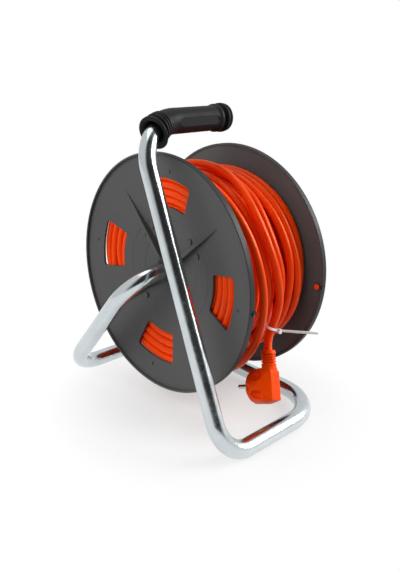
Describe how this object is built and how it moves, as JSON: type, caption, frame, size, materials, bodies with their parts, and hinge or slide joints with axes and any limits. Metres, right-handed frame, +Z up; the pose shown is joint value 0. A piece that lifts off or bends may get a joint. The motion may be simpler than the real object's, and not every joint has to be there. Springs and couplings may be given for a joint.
{
  "type": "extension cord reel",
  "caption": "Round drum with a wound cord, sockets and a winding knob, turning on a bent tube frame with a hand grip and a plug on the cord end.",
  "frame": {"origin": "on the floor under the middle of the frame and drum, without the free cord and plug", "axes": "+Z up; +X along the drum axis, from the legs towards the socket side; +Y sideways, away from the front leg"},
  "size_m": [0.226, 0.304, 0.368],
  "materials": {
    "zinc_tube": "bright zinc plated",
    "grip_rubber": "matt moulded rubber",
    "grey_plastic": "fine matt moulding",
    "black_plastic": "satin moulding",
    "cord_orange": "smooth flexible sheath",
    "plug_orange": "satin moulding",
    "red_plastic": "satin moulding",
    "steel": "zinc plated",
    "nickel": "nickel plated",
    "brass": "bright",
    "white_nylon": "translucent nylon"
  },
  "bodies": {
    "frame": {"frame_tube": "zinc_tube", "hand_grip": "grip_rubber", "stop_collar": "black_plastic", "axle_washer": "steel", "axle_split_pin": "steel", "axle_end_cap": "black_plastic", "cord_lead": "cord_orange", "plug_body": "plug_orange", "strain_relief": "plug_orange", "plug_pins": "nickel", "plug_earth_plates": "brass", "cable_tie": "white_nylon"},
    "drum": {"front_flange": "grey_plastic", "back_flange": "grey_plastic", "barrel": "black_plastic", "flange_pins": "grey_plastic", "hub_sleeve": "black_plastic", "socket_panel": "black_plastic", "socket_wells": "black_plastic", "earth_springs": "brass", "panel_screws": "steel", "button_bezel": "black_plastic", "knob_pin": "steel", "rim_clips": "black_plastic", "rim_rivet": "plug_orange", "cable_core": "cord_orange", "cord_winding": "cord_orange"},
    "knob": {"winding_knob": "black_plastic", "knob_cap": "black_plastic"},
    "button": {"reset_button": "red_plastic"}
  },
  "joints": [
    {"name": "drum_spin", "type": "hinge", "parent": "frame", "child": "drum", "pos_m": [-0.004, 0.007, 0.1685], "axis": [1, 0, 0], "continuous": true},
    {"name": "knob_spin", "type": "hinge", "parent": "drum", "child": "knob", "pos_m": [0.096, 0.11839, 0.18021], "axis": [1, 0, 0], "continuous": true},
    {"name": "reset_press", "type": "slide", "parent": "drum", "child": "button", "axis": [-1, 0, 0], "range_m": [0, 0.002], "stiffness_N_per_m": 500, "springref_m": -0.002}
  ]
}
